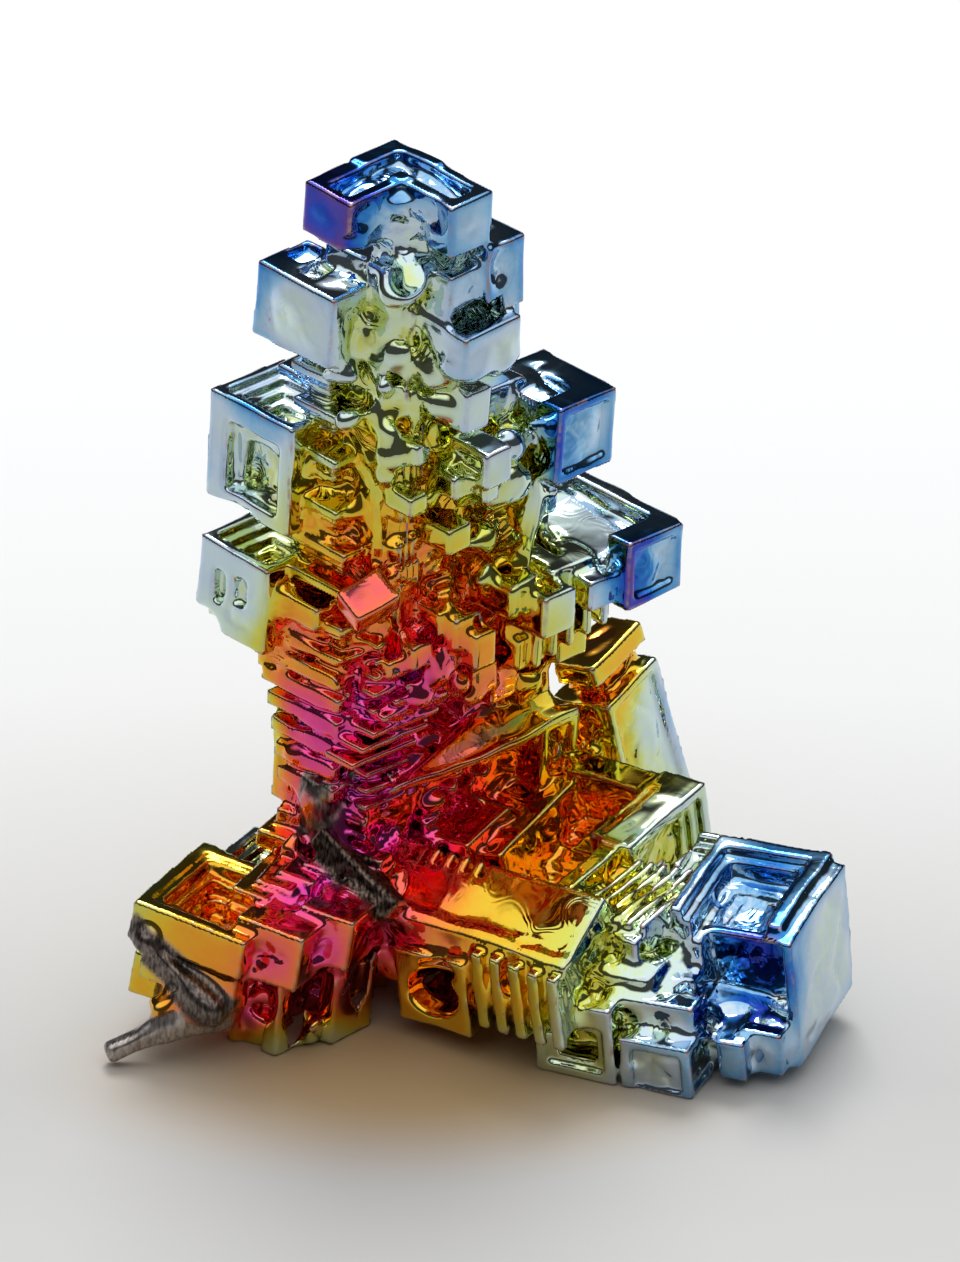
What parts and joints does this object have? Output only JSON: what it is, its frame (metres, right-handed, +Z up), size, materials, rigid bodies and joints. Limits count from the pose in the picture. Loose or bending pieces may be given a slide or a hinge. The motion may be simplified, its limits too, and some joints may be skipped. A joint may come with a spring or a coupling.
{
  "type": "bismuth hopper crystal",
  "caption": "Lab-grown bismuth hopper crystal: a tree of stepped, hollow-faced cubes rising from low spreading arms, with an iridescent oxide skin.",
  "frame": {"origin": "middle of the footprint, on the surface that the crystal rests on", "axes": "+Z up along the crystal's tree, -Y towards the open side with the chevrons, +X towards the long right-hand arm"},
  "size_m": [0.023, 0.0158, 0.028],
  "materials": {
    "bismuth": "bright metal under a thin oxide that runs from magenta and gold in the middle to green and blue at the tips"
  },
  "bodies": {
    "root": {"bismuth_crystal": "bismuth"}
  },
  "joints": []
}
